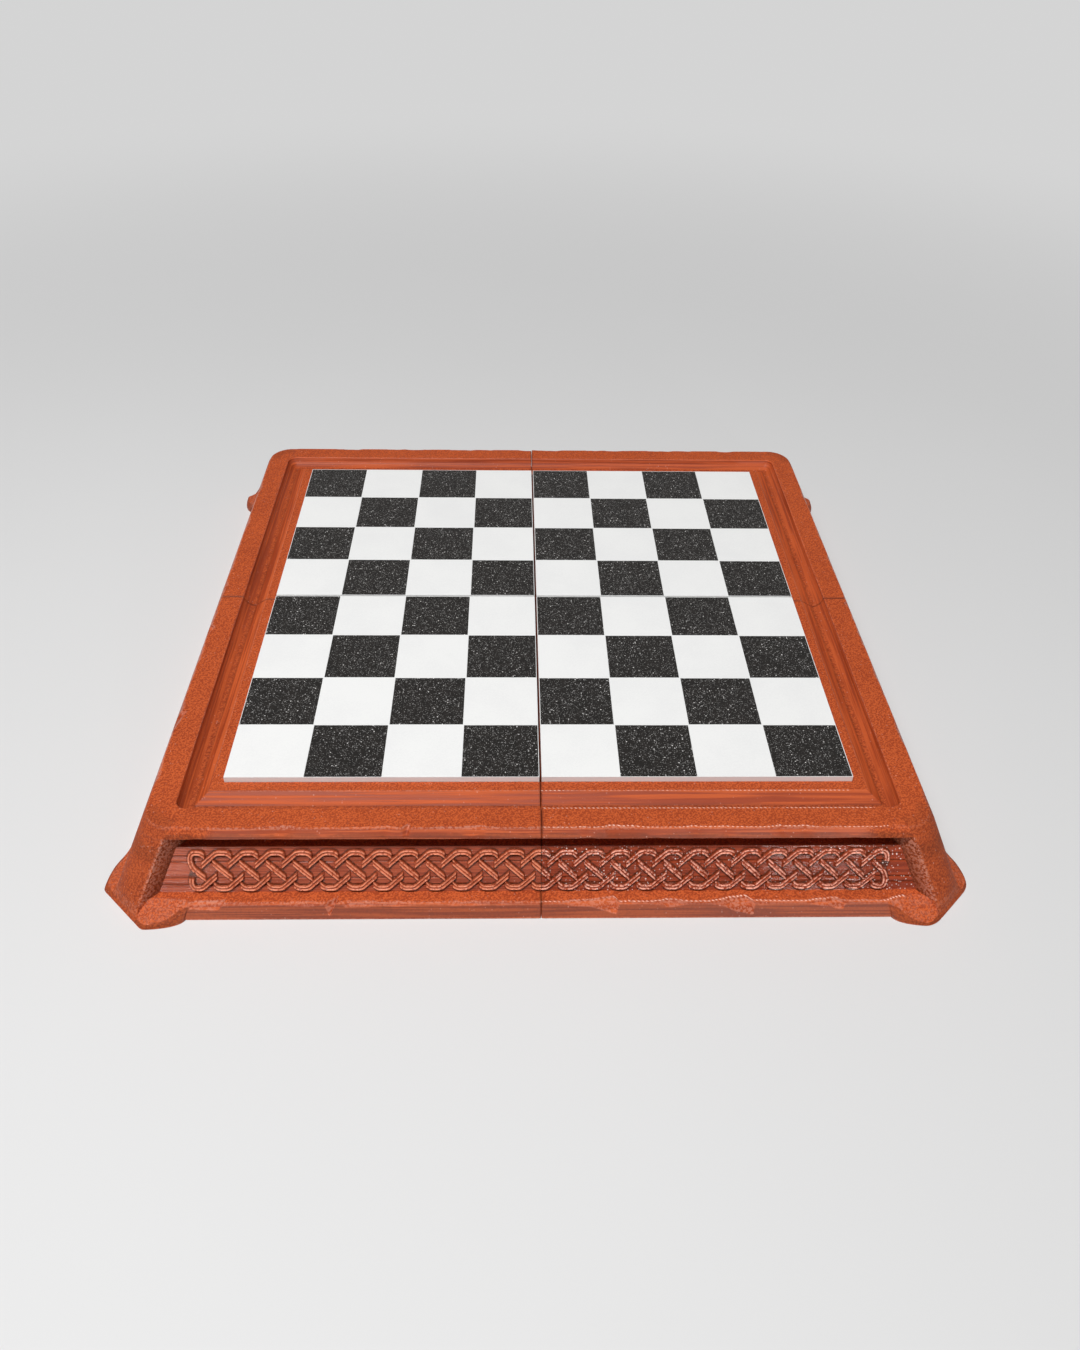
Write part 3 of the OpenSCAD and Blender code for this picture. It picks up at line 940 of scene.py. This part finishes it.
def new_group(name: str, inputs: dict[str, str],
              outputs: dict[str, str]) -> tuple[NodeBench, dict, bpy.types.Node]:
    """Starts a shader node group with named sockets.

    Args:
        name: Name of the group.
        inputs: Input name to socket type.
        outputs: Output name to socket type.

    Returns:
        The bench for its nodes, its input sockets by name, and its output node.
    """
    tree = bpy.data.node_groups.new(name, "ShaderNodeTree")
    for label, kind in inputs.items():
        tree.interface.new_socket(name=label, in_out="INPUT", socket_type=kind)
    for label, kind in outputs.items():
        tree.interface.new_socket(name=label, in_out="OUTPUT", socket_type=kind)
    bench = NodeBench(tree)
    start = bench.add("NodeGroupInput")
    end = bench.add("NodeGroupOutput")
    return bench, {label: start.outputs[label] for label in inputs}, end


def print_lines_group() -> bpy.types.NodeTree:
    """Group for printed surfaces: level layer lines on slopes and grain on level tops.

    Layer lines are noise drawn out along the level, and the grain is fine noise with a slanting hatch.
    Which one counts follows how level the face lies and whether the piece has the satin of a slope.

    Returns:
        The node group.
    """
    number = "NodeSocketFloat"
    bench, given, end = new_group(
        "print_lines",
        {"Vector": "NodeSocketVector", "Normal": "NodeSocketVector", "Satin": number},
        {"Level": number, "Steep": number, "Tone": number})
    place, satin = given["Vector"], given["Satin"]
    lift = bench.add("ShaderNodeSeparateXYZ", {"Vector": given["Normal"]}).outputs["Z"]
    level = bench.math("MAXIMUM", bench.ramp(lift, 0.90, 0.985), bench.math("SUBTRACT", 1.0, satin))
    steep = bench.product(bench.ramp(lift, 0.5, 0.75, 1.0, 0.0), satin)
    layers = bench.noise(place, (22, 22, 1700), 3.0, 0.6)
    bands = bench.noise(place, (14, 14, 1000), 1.0)
    turn = {"Vector": place, "Rotation": (0, 0, math.radians(45))}
    slanted = bench.add("ShaderNodeMapping", turn).outputs[0]
    hatch = bench.noise(slanted, (1300, 220, 400), 1.0)
    grain = bench.noise(place, (1050, 1050, 1050), 1.0, 0.7)
    lines = bench.weighted(layers, 0.35, bands, 0.65)
    top = bench.weighted(hatch, 0.2, grain, 0.8)
    tone = bench.add("ShaderNodeMix", {0: level, 2: lines, 3: top}, data_type="FLOAT").outputs[0]
    bench.feed(end, {"Level": level, "Steep": steep, "Tone": tone})
    return bench.tree


def flecks_group() -> bpy.types.NodeTree:
    """Group for glitter and painted glints: small bright flecks in some cells of a cell pattern.

    Returns:
        The node group.
    """
    number = "NodeSocketFloat"
    bench, given, end = new_group(
        "flecks", {"Vector": "NodeSocketVector", "Cells": number, "Share": number},
        {"Mask": number, "Glow": number})
    cell = bench.add("ShaderNodeTexVoronoi", {"Vector": given["Vector"], "Scale": given["Cells"]})
    pick = bench.add("ShaderNodeSeparateColor", {"Color": cell.outputs["Color"]}).outputs
    chosen = bench.math("LESS_THAN", pick[0], given["Share"])
    round_spot = bench.ramp(cell.outputs["Distance"], 0.22, 0.42, 1.0, 0.0)
    bench.feed(end, {"Mask": bench.product(chosen, round_spot), "Glow": pick[1]})
    return bench.tree


def new_material(name: str) -> tuple[bpy.types.Material, NodeBench, bpy.types.Node, Socket]:
    """Starts a material.

    Args:
        name: Name of the finish.

    Returns:
        The material, the bench for its nodes, its Principled shader and the object coordinates.
    """
    material = bpy.data.materials.new(name)
    material.use_nodes = True
    bench = NodeBench(material.node_tree)
    shader = material.node_tree.nodes["Principled BSDF"]
    place = bench.add("ShaderNodeTexCoord").outputs["Object"]
    return material, bench, shader, place


@dataclass(frozen=True)
class PrintFinish:
    """Printed terracotta: base tones, gloss and the depth of its lines.

    The depth of the relief and the pitch of the dotted line are in metres, and the cells of the painted
    glints are counted along a metre. The colour holds painted shade in hollows, scuffed edges and crests
    with painted highlight, and painted glints.
    """

    name: str
    deep: Colour
    pale: Colour
    worn_and_highlit: Colour
    level_rough: float
    slope_rough: float
    bump: float
    specular: float
    coat: float
    coat_rough: float
    rub_and_highlight: float = 0.6
    cover: float = 0.40
    line_depth: float = 1.0
    ripple: float = 0.0
    # Strength, share and cell count of the painted glints.
    glint_paint: float = 0.35
    glint_paint_share: float = 0.10
    glint_paint_cells: float = 900.0
    rough_swing: float = 0.16
    relief_depth: float = 0.0004
    # Colour of the dotted print ends and of the painted glints.
    bright: Colour = (0.82, 0.48, 0.38, 1)
    # Colour of the painted shade.
    painted_dark: Colour = (0.052, 0.014, 0.006, 1)
    stitch_pitch: float = 0.0022

    def tint(self, bench: NodeBench, place: Socket, tone: Socket,
             glitter: bpy.types.NodeOutputs) -> Socket:
        """Colour of the print: toned base, painted shade, scuffing and painted highlight, print ends,
        painted glints.

        Args:
            bench: The bench of the material.
            place: The object coordinates.
            tone: Tone of the print lines.
            glitter: The outputs of the flecks group, which place the painted glints.

        Returns:
            The colour socket.
        """
        broad = bench.noise(place, (28, 28, 60), 3.0)
        shade = bench.weighted(tone, 0.75, broad, 0.4)
        base = bench.mix(shade, self.deep, self.pale)
        broken = bench.noise(place, (760, 760, 760), 2.0)
        # Painted shade: the mark of painted shade darkens the colour towards the shade colour.
        kept = bench.product(bench.mark("painted_shade"), bench.ramp(broken, 0.25, 0.6, 1.0, 0.7))
        shaded_base = bench.mix(kept, base, self.painted_dark)
        # Edges and crests: scuffed colour that also stands for a painted highlight.
        broken_up = bench.ramp(broken, self.cover, self.cover + 0.2)
        rubbed_and_highlit = bench.product(bench.mark("wear_and_highlight"), broken_up, self.rub_and_highlight)
        edged = bench.mix(rubbed_and_highlit, shaded_base, self.worn_and_highlit)
        axes = bench.add("ShaderNodeSeparateXYZ", {"Vector": place}).outputs
        across = bench.product(bench.math("ADD", axes["X"], axes["Y"]), 2 * math.pi / self.stitch_pitch)
        dots = bench.ramp(bench.math("SINE", across), -0.1, 0.5)
        gaps = bench.ramp(bench.noise(place, (40, 40, 40), 1.0), 0.38, 0.50, 0.25, 1.0)
        stitches = bench.product(bench.ramp(bench.mark("stitch"), 0.35, 0.8), dots, gaps)
        sewn = bench.mix(stitches, edged, self.bright)
        # Painted glints: bright flecks in the base colour, more in some patches.
        patches = bench.ramp(bench.noise(place, (48, 48, 48), 1.0), 0.42, 0.60, 0.25, 1.0)
        painted_glint_mask = bench.product(glitter["Mask"], glitter["Glow"], patches, self.glint_paint)
        return bench.mix(painted_glint_mask, sewn, self.bright)

    def make(self, lines: bpy.types.NodeTree, flecks: bpy.types.NodeTree) -> bpy.types.Material:
        """Makes the material.

        Args:
            lines: The group of print lines.
            flecks: The group of flecks.

        Returns:
            The material.
        """
        material, bench, shader, place = new_material(self.name)
        normal = bench.add("ShaderNodeNewGeometry").outputs["Normal"]
        given = {"Vector": place, "Normal": normal, "Satin": bench.mark("satin")}
        print_lines = bench.add("ShaderNodeGroup", given, node_tree=lines).outputs
        # Flecks for the painted glints.
        spread = {"Vector": place, "Cells": self.glint_paint_cells, "Share": self.glint_paint_share}
        glitter = bench.add("ShaderNodeGroup", spread, node_tree=flecks).outputs
        tone = bench.ramp(print_lines["Tone"], 0.42, 0.58)
        smooth = bench.ramp(print_lines["Level"], 0.0, 1.0, self.slope_rough, self.level_rough)
        swing = bench.product(bench.math("SUBTRACT", tone, 0.5), self.rough_swing)
        waves = bench.noise(place, (360, 360, 360), 1.0)
        height = bench.weighted(print_lines["Tone"], self.line_depth, waves, self.ripple)
        bench.feed(shader, {
            "Base Color": self.tint(bench, place, tone, glitter),
            "Roughness": bench.math("ADD", smooth, swing),
            "Normal": bench.bump(height, self.bump, self.relief_depth),
            "Specular IOR Level": self.specular,
            "Coat Weight": bench.product(print_lines["Steep"], self.coat),
            "Coat Roughness": self.coat_rough})
        return material


@dataclass(frozen=True)
class PlateFinish:
    """Satin white print with a faint slanting hatch."""

    name: str = "satin_white"
    pale: Colour = (0.84, 0.84, 0.83, 1)
    dull: Colour = (0.80, 0.80, 0.795, 1)
    rough: float = 0.40
    rough_swing: float = 0.14
    bump: float = 0.12
    relief_depth: float = 0.0002

    def make(self, lines: bpy.types.NodeTree) -> bpy.types.Material:
        """Makes the material.

        Args:
            lines: The group of print lines.

        Returns:
            The material.
        """
        material, bench, shader, place = new_material(self.name)
        normal = bench.add("ShaderNodeNewGeometry").outputs["Normal"]
        given = {"Vector": place, "Normal": normal}
        tone = bench.add("ShaderNodeGroup", given, node_tree=lines).outputs["Tone"]
        cloud = bench.noise(place, (35, 35, 35), 3.0)
        mixed = bench.weighted(tone, 0.5, cloud, 0.5)
        bench.feed(shader, {
            "Base Color": bench.mix(bench.ramp(mixed, 0.35, 0.62), self.dull, self.pale),
            "Roughness": bench.math("ADD", self.rough, bench.product(tone, self.rough_swing)),
            "Normal": bench.bump(tone, self.bump, self.relief_depth)})
        return material


@dataclass(frozen=True)
class GlitterFinish:
    """Charcoal print with silver glitter of two sizes.

    Each size has the count of its cells along a metre and the share of them that hold a fleck. The power
    makes bright flecks rarer than dim ones.
    """

    name: str = "glitter_black"
    dark: Colour = (0.016, 0.0145, 0.0135, 1)
    grey: Colour = (0.021, 0.0185, 0.017, 1)
    silver: Colour = (0.96, 0.94, 0.92, 1)
    specular: float = 0.08
    small: tuple[float, float] = (1650.0, 0.56)
    big: tuple[float, float] = (1000.0, 0.11)
    small_shine: float = 0.46
    shine_power: float = 1.3
    bump: float = 0.15
    relief_depth: float = 0.0002

    def make(self, flecks: bpy.types.NodeTree) -> bpy.types.Material:
        """Makes the material.

        Args:
            flecks: The group of flecks.

        Returns:
            The material.
        """
        material, bench, shader, place = new_material(self.name)
        shines = []
        for cells, share in (self.small, self.big):
            given = {"Vector": place, "Cells": cells, "Share": share}
            found = bench.add("ShaderNodeGroup", given, node_tree=flecks).outputs
            glow = bench.math("POWER", found["Glow"], self.shine_power)
            shines.append(bench.product(found["Mask"], glow))
        shine = bench.math("MAXIMUM", bench.product(shines[0], self.small_shine), shines[1])
        cloud = bench.noise(place, (260, 260, 260), 3.0)
        base = bench.mix(bench.ramp(cloud, 0.35, 0.68), self.dark, self.grey)
        bench.feed(shader, {
            "Base Color": bench.mix(shine, base, self.silver),
            "Roughness": bench.ramp(cloud, 0.3, 0.7, 0.55, 0.42),
            "Normal": bench.bump(cloud, self.bump, self.relief_depth),
            "Specular IOR Level": self.specular})
        return material


TERRACOTTA = PrintFinish(
    name="printed_terracotta", deep=(0.250, 0.032, 0.007, 1), pale=(0.545, 0.102, 0.026, 1),
    worn_and_highlit=(0.66, 0.29, 0.20, 1), level_rough=0.70, slope_rough=0.58, bump=0.8, specular=0.20,
    coat=0.5, coat_rough=0.36)
CARVED = PrintFinish(
    name="carved_terracotta", deep=(0.230, 0.032, 0.009, 1), pale=(0.390, 0.074, 0.027, 1),
    worn_and_highlit=(0.76, 0.26, 0.145, 1), level_rough=0.5, slope_rough=0.40, bump=0.6, specular=0.15,
    coat=0.5, coat_rough=0.10, rub_and_highlight=0.9, cover=0.32, line_depth=0.4, ripple=0.8)
GLOSSY = PrintFinish(
    name="glossy_terracotta", deep=(0.185, 0.020, 0.004, 1), pale=(0.330, 0.050, 0.014, 1),
    worn_and_highlit=(0.88, 0.40, 0.29, 1), level_rough=0.42, slope_rough=0.40, bump=0.9, specular=0.08,
    coat=0.4, coat_rough=0.03, rub_and_highlight=0.95, cover=0.38, line_depth=0.05, ripple=2.4, glint_paint=0.9,
    glint_paint_share=0.34, bright=(0.95, 0.80, 0.74, 1))
PIN_PRINT = PrintFinish(
    name="pin_print", deep=(0.20, 0.035, 0.014, 1), pale=(0.28, 0.06, 0.026, 1),
    worn_and_highlit=(0.45, 0.2, 0.14, 1), level_rough=0.55, slope_rough=0.5, bump=0.2, specular=0.4,
    coat=0.2, coat_rough=0.4)


@dataclass(frozen=True)
class Lamp:
    """Square soft lamp: its place, the place it points at, its side in metres and its power in watts."""

    name: str
    at: Place
    aim: Place
    size: float
    power: float

    def make(self) -> None:
        """Adds the lamp to the scene, where the camera sees only its light."""
        data = bpy.data.lights.new(self.name, "AREA")
        data.size = self.size
        data.energy = self.power
        lamp = linked(self.name, data)
        lamp.location = self.at
        lamp.visible_camera = False
        lamp.rotation_euler = (Vector(self.aim) - Vector(self.at)).to_track_quat("-Z", "Y").to_euler()


@dataclass
class Studio:
    """Pale floor, soft lamps and the camera at the photograph's viewing angle.

    Lengths are metres except the lens and the sensor, which are millimetres. Tilts and the sun's spread are
    degrees. The floor fades between two distances from the board's middle.
    """

    eye: Place = (-0.01470, -0.56388, 0.43923)
    tilt: Place = (50.948, -0.969, -1.098)
    lens: float = 29.39
    sensor: float = 36.0
    nearest: float = 0.01
    floor_size: float = 10.0
    floor_points: int = 5
    floor_z: float = -0.0001
    floor_colour: Colour = (0.70, 0.70, 0.70, 1)
    floor_dim: float = 0.97
    floor_rough: float = 0.6
    fade: tuple[float, float] = (0.40, 1.5)
    surround: float = 0.02
    backdrop: Colour = (0.66, 0.66, 0.66, 1)
    sun_power: float = 1.85
    sun_spread: float = 7.0
    sun_tilt: Place = (17.0, -8.0, 0.0)
    lamps: tuple[Lamp, ...] = (
        Lamp("key", (-0.36, -0.60, 1.30), (0.0, -0.12, 0.03), 0.45, 11.0),
        Lamp("front", (2.4, -8.4, 1.0), (0.0, -0.1, 0.02), 0.8, 62.0),
        Lamp("side", (-2.7, -8.4, 0.9), (0.0, -0.1, 0.02), 0.8, 33.0))

    def seen(self, bench: NodeBench) -> Socket:
        """Tells what is seen from what only gives light.

        Args:
            bench: The bench of the tree.

        Returns:
            1 for rays from the camera, from a mirror or through glass, and 0 for all others.
        """
        ray = bench.add("ShaderNodeLightPath").outputs
        mirrored = bench.math("MAXIMUM", ray["Is Glossy Ray"], ray["Is Transmission Ray"])
        return bench.math("MAXIMUM", ray["Is Camera Ray"], mirrored)

    def floor(self) -> None:
        """Makes the floor, one flat grid just under the board that fades into the backdrop further out."""
        count = self.floor_points
        axis = np.linspace(-self.floor_size / 2, self.floor_size / 2, count)
        x, y = np.meshgrid(axis, axis)
        points = np.stack([x, y, np.full_like(x, self.floor_z)], -1).reshape(-1, 3)
        mesh = bpy.data.meshes.new("floor")
        mesh.from_pydata(points.tolist(), [], grid_quads(count, count)[:, ::-1].tolist())
        piece = linked("floor", mesh)
        material, bench, shader, place = new_material("floor_paper")
        dimmer = tuple(self.floor_dim * c for c in self.floor_colour[:3]) + (1,)
        tint = bench.mix(bench.noise(place, (3, 3, 3), 2.0), dimmer, self.floor_colour)
        bench.feed(shader, {"Base Color": tint, "Roughness": self.floor_rough})
        away = bench.add("ShaderNodeVectorMath", {0: place}, operation="LENGTH").outputs["Value"]
        share = bench.product(bench.ramp(away, *self.fade), self.seen(bench))
        glow = bench.add("ShaderNodeEmission", {"Color": self.backdrop, "Strength": 1.0})
        bench.cover("Material Output", share, shader, glow)
        mesh.materials.append(material)

    def light(self) -> None:
        """Sets a surround that is pale where it is seen and dim as light, the sun and the lamps."""
        world = bpy.data.worlds.new("surround")
        world.use_nodes = True
        bench = NodeBench(world.node_tree)
        dim = world.node_tree.nodes["Background"]
        bench.feed(dim, {"Color": (1, 1, 1, 1), "Strength": self.surround})
        pale = bench.add("ShaderNodeBackground", {"Color": self.backdrop, "Strength": 1.0})
        bench.cover("World Output", self.seen(bench), dim, pale)
        bpy.context.scene.world = world
        sun = bpy.data.lights.new("even", "SUN")
        sun.energy = self.sun_power
        sun.angle = math.radians(self.sun_spread)
        linked("even", sun).rotation_euler = tuple(math.radians(a) for a in self.sun_tilt)
        for lamp in self.lamps:
            lamp.make()

    def camera(self) -> None:
        """Sets the camera where the photograph was taken from."""
        data = bpy.data.cameras.new("view")
        data.sensor_fit = "VERTICAL"
        data.sensor_height = self.sensor
        data.lens = self.lens
        data.clip_start = self.nearest
        camera = linked("view", data)
        camera.location = self.eye
        camera.rotation_euler = tuple(math.radians(a) for a in self.tilt)
        bpy.context.scene.camera = camera


def dress_nodes(prefix: str, material: bpy.types.Material) -> None:
    """Gives every solid whose name starts with a prefix one finish.

    Args:
        prefix: Start of the solids' names.
        material: The finish.
    """
    for name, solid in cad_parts.items():
        if name.startswith(prefix):
            solid.data.materials.clear()
            solid.data.materials.append(material)
            LOG.info("%s: %s", name, material.name)


def main() -> None:
    """Builds the frames, the panels, the dressed solids and the studio."""
    logging.basicConfig(level=logging.INFO, format="%(name)s: %(message)s")
    bpy.context.scene.view_settings.view_transform = "Standard"
    lines, flecks = print_lines_group(), flecks_group()
    terracotta = TERRACOTTA.make(lines, flecks)
    carved = CARVED.make(lines, flecks)
    glossy = GLOSSY.make(lines, flecks)
    for quarter in Quarter:
        shell = FrameShell(quarter).dress(terracotta)
        LOG.info("%s: %d faces", shell.name, len(shell.data.polygons))
        for half in Half:
            panel = KnotPanel(quarter, half).dress(glossy if quarter is Quarter.FRONT_RIGHT else carved)
            LOG.info("%s: %d faces", panel.name, len(panel.data.polygons))
    dress_nodes("plate_", PlateFinish().make(lines))
    dress_nodes("tile_", GlitterFinish().make(flecks))
    dress_nodes("pin_", PIN_PRINT.make(lines, flecks))
    studio = Studio()
    studio.floor()
    studio.light()
    studio.camera()


if __name__ == "__main__":
    main()
